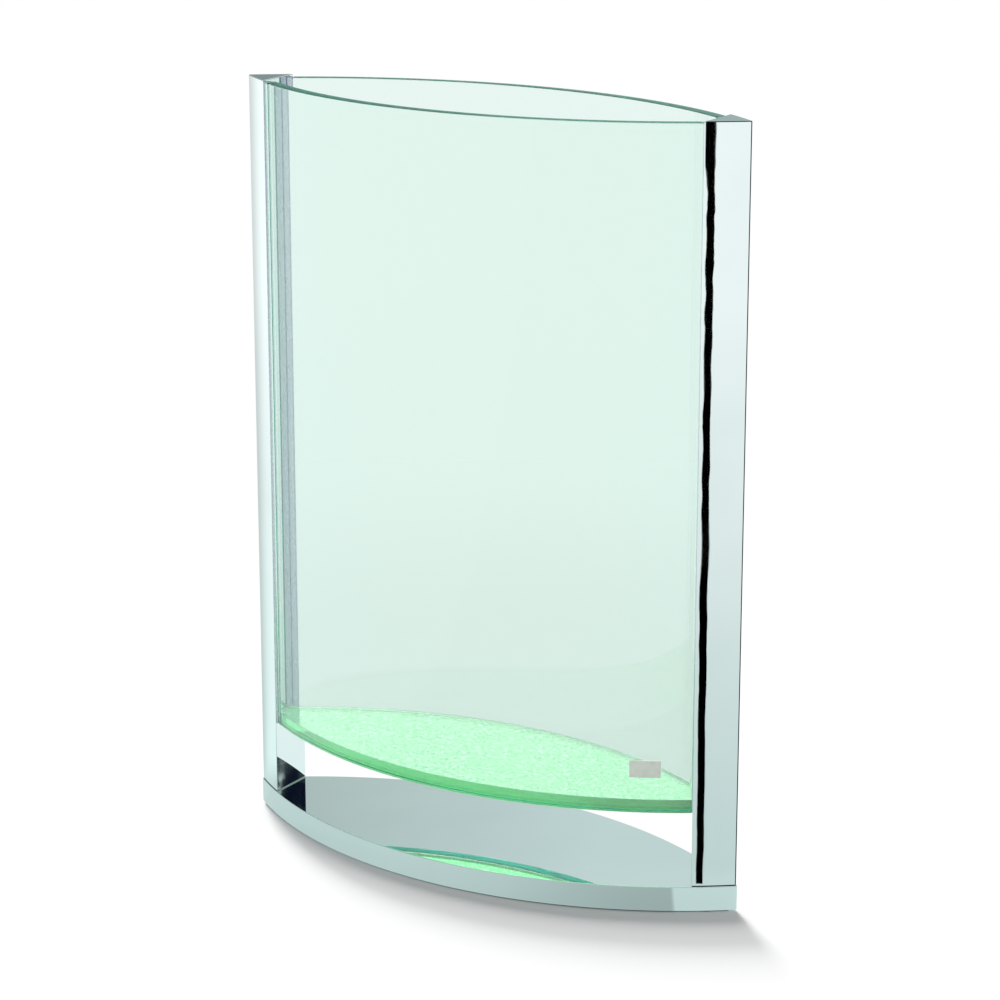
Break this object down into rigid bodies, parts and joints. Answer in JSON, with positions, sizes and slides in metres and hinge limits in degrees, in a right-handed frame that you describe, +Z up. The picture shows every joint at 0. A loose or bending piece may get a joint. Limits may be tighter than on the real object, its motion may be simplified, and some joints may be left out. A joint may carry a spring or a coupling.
{
  "type": "glass vase",
  "caption": "Free-standing glass vase with a lens-shaped plan: two bent panes and a glass floor hang between polished wedge posts, clear of a polished base plate.",
  "frame": {"origin": "middle of the underside, on the table", "axes": "+X along the long axis from tip to tip, towards the right post; -Y is the front, where the name plate is; +Z up"},
  "size_m": [0.27, 0.095, 0.37],
  "materials": {
    "polished_metal": "mirror polished",
    "clear_glass": "clear with polished green edges",
    "clear_silicone": "clear, smooth",
    "plate_metal": "satin",
    "tape": "matt",
    "screw_steel": "plain",
    "felt": "short felt"
  },
  "bodies": {
    "root": {"base_plate": "polished_metal", "base_felt": "felt", "left_post": "polished_metal", "right_post": "polished_metal", "left_post_screws": "screw_steel", "right_post_screws": "screw_steel", "front_pane": "clear_glass", "back_pane": "clear_glass", "glass_floor": "clear_glass", "front_left_seal": "clear_silicone", "front_right_seal": "clear_silicone", "back_left_seal": "clear_silicone", "back_right_seal": "clear_silicone", "floor_seal": "clear_silicone", "name_plate": "plate_metal", "name_plate_tape": "tape"}
  },
  "joints": []
}
